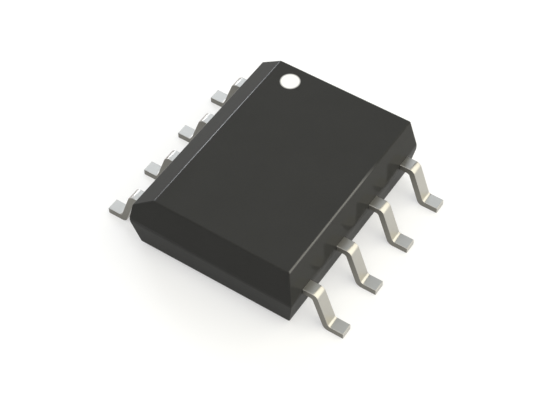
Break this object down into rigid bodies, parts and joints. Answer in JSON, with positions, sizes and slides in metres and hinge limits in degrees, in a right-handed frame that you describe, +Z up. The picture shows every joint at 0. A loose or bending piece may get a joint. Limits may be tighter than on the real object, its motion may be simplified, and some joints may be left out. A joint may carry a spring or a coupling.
{
  "type": "small-outline integrated circuit",
  "caption": "Narrow small-outline chip package: drafted black moulding with one chamfered edge, a white dot and gull-wing leads along both long sides.",
  "frame": {"origin": "middle of the package on the plane that its eight feet stand on", "axes": "+X across the rows towards leads 5 to 8, +Y along the rows towards the end with the pin 1 dot, +Z up"},
  "size_m": [0.006, 0.005, 0.0018],
  "materials": {
    "mould_compound": "satin black epoxy moulding compound",
    "white_ink": "flat white marking ink",
    "tin_plate": "matte tin plate on copper alloy",
    "copper": "bare copper alloy strip",
    "silver_epoxy": "cured silver-filled epoxy",
    "silicon": "polished silicon",
    "gold": "drawn gold wire"
  },
  "bodies": {
    "root": {"mould_body": "mould_compound", "pin_one_dot": "white_ink", "lead_1": "tin_plate", "lead_2": "tin_plate", "lead_3": "tin_plate", "lead_4": "tin_plate", "lead_5": "tin_plate", "lead_6": "tin_plate", "lead_7": "tin_plate", "lead_8": "tin_plate", "die_pad": "copper", "die_attach": "silver_epoxy", "die": "silicon", "bond_wire_1": "gold", "bond_wire_2": "gold", "bond_wire_3": "gold", "bond_wire_4": "gold", "bond_wire_5": "gold", "bond_wire_6": "gold", "bond_wire_7": "gold", "bond_wire_8": "gold"}
  },
  "joints": []
}
